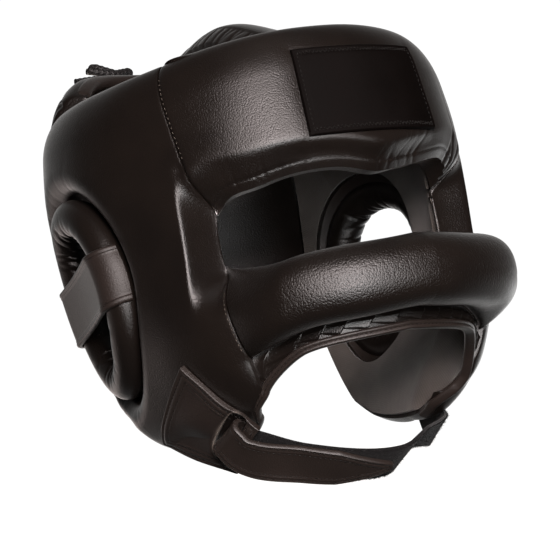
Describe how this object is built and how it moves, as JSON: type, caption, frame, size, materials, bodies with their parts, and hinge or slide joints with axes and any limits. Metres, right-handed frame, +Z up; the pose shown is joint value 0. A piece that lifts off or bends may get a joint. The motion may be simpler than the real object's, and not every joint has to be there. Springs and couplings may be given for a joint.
{
  "type": "martial arts head guard",
  "caption": "Closed-face sparring head guard: padded leather shell with a padded bar across the face, open ears and crown, and a chin strap.",
  "frame": {"origin": "underside of the crown strap on the midline, where the guard sits on the head", "axes": "+Z up, the face looks along -Y, the wearer's left is +X"},
  "size_m": [0.2222, 0.2934, 0.2563],
  "materials": {
    "pad_leather": "fine pebble grain, satin",
    "patch_leather": "smooth, satin, bare",
    "strap_leather": "fine grain, hemmed",
    "lining_cloth": "fine weave, matt",
    "strap_web": "hook and loop web, matt",
    "lace_cord": "braided, matt"
  },
  "bodies": {
    "root": {"forehead_pad": "pad_leather", "forehead_lining": "lining_cloth", "forehead_patch": "patch_leather", "side_pad_left": "pad_leather", "side_pad_right": "pad_leather", "side_lining_left": "lining_cloth", "side_lining_right": "lining_cloth", "ear_ring_left": "pad_leather", "ear_ring_right": "pad_leather", "ear_strap_left": "strap_leather", "ear_strap_right": "strap_leather", "face_bar": "pad_leather", "bar_facing": "pad_leather", "mouth_binding": "strap_leather", "back_pad": "pad_leather", "crown_strap": "pad_leather", "crown_lace": "lace_cord", "chin_tab": "strap_leather", "chin_strap": "strap_web"}
  },
  "joints": []
}
